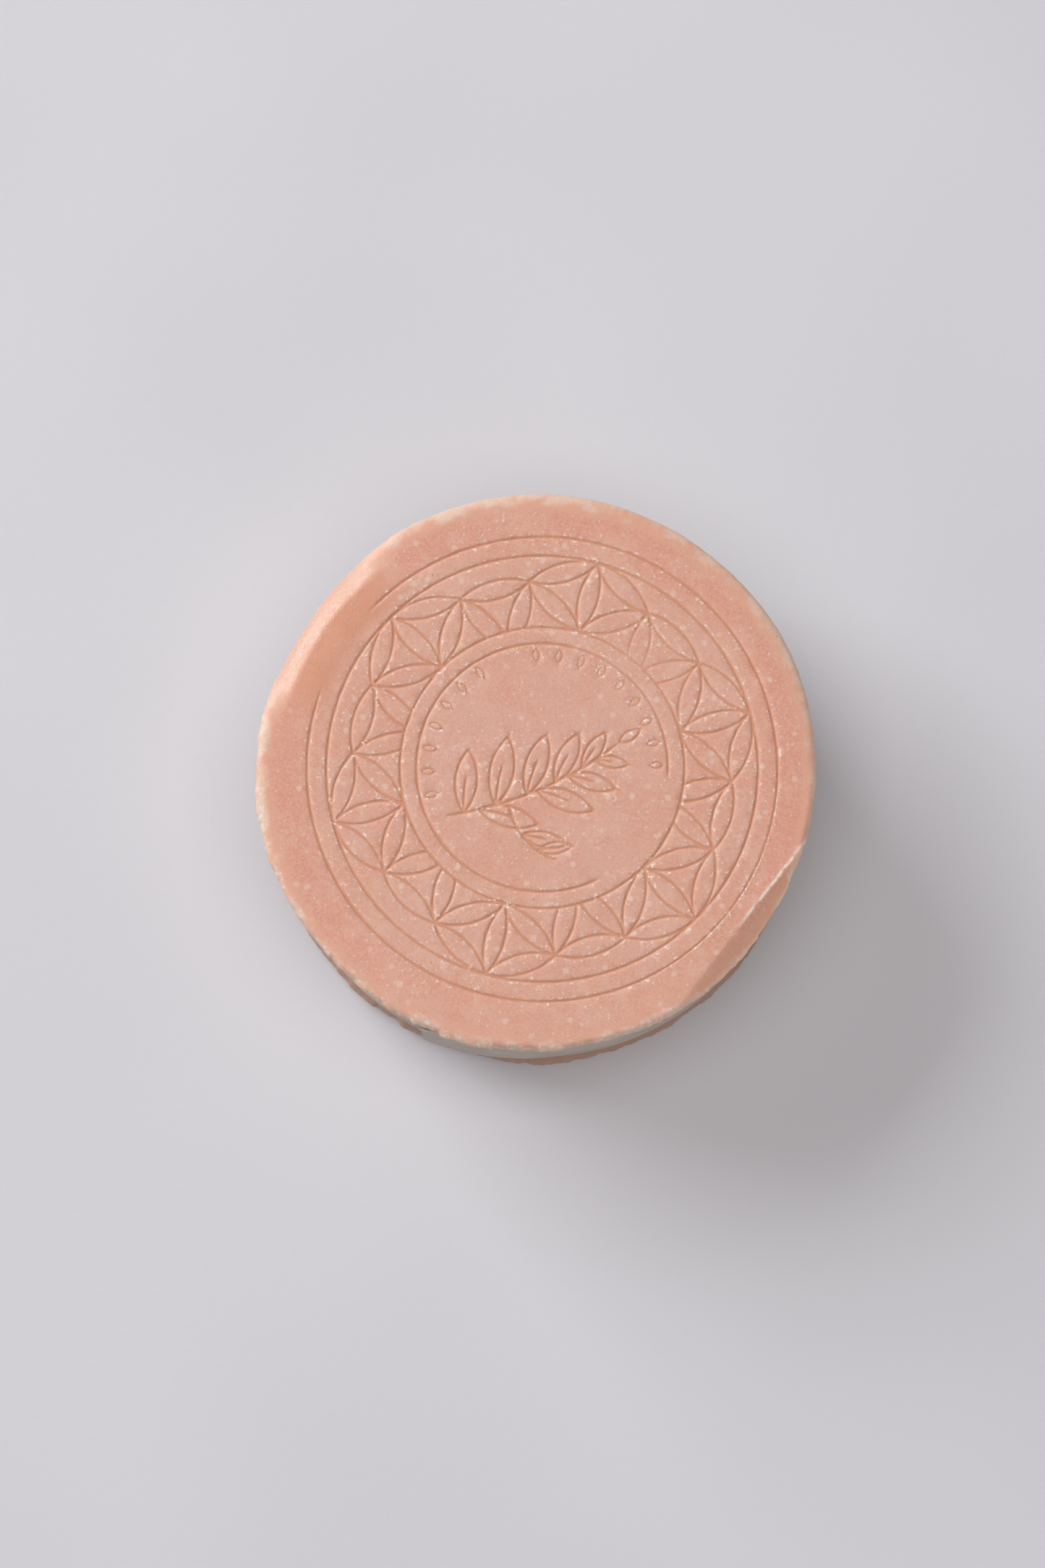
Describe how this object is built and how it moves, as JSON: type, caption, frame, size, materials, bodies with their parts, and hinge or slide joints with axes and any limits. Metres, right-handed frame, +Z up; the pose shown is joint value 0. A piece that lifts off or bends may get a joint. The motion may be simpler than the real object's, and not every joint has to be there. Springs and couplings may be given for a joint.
{
  "type": "shaving soap puck",
  "caption": "Round cast shaving soap puck with a petal-stamped top, ragged rims and a paper belly band whose taped end peels open.",
  "frame": {"origin": "centre of the flat base, on the surface the puck stands on", "axes": "+Z up through the stamped top; -Y is the side where the paper band laps, the near side of the usual view"},
  "size_m": [0.0754, 0.0757, 0.028],
  "materials": {
    "soap": "waxy translucent peach-pink cast soap, satin, with pale ash specks and a glossier pressed edge",
    "paper": "plain white uncoated paper, matte",
    "tape": "clear-white double-sided adhesive tape, slightly glossy"
  },
  "bodies": {
    "puck": {"soap_puck": "soap", "label_band": "paper", "lap_tape": "tape"},
    "band_end": {"band_flap": "paper"}
  },
  "joints": [
    {"name": "band_peel", "type": "hinge", "parent": "puck", "child": "band_end", "pos_m": [-0.00407, -0.03713, 0.014], "axis": [0, 0, 1], "range_deg": [-3, 80], "stiffness_Nm_per_rad": 0.00005}
  ]
}
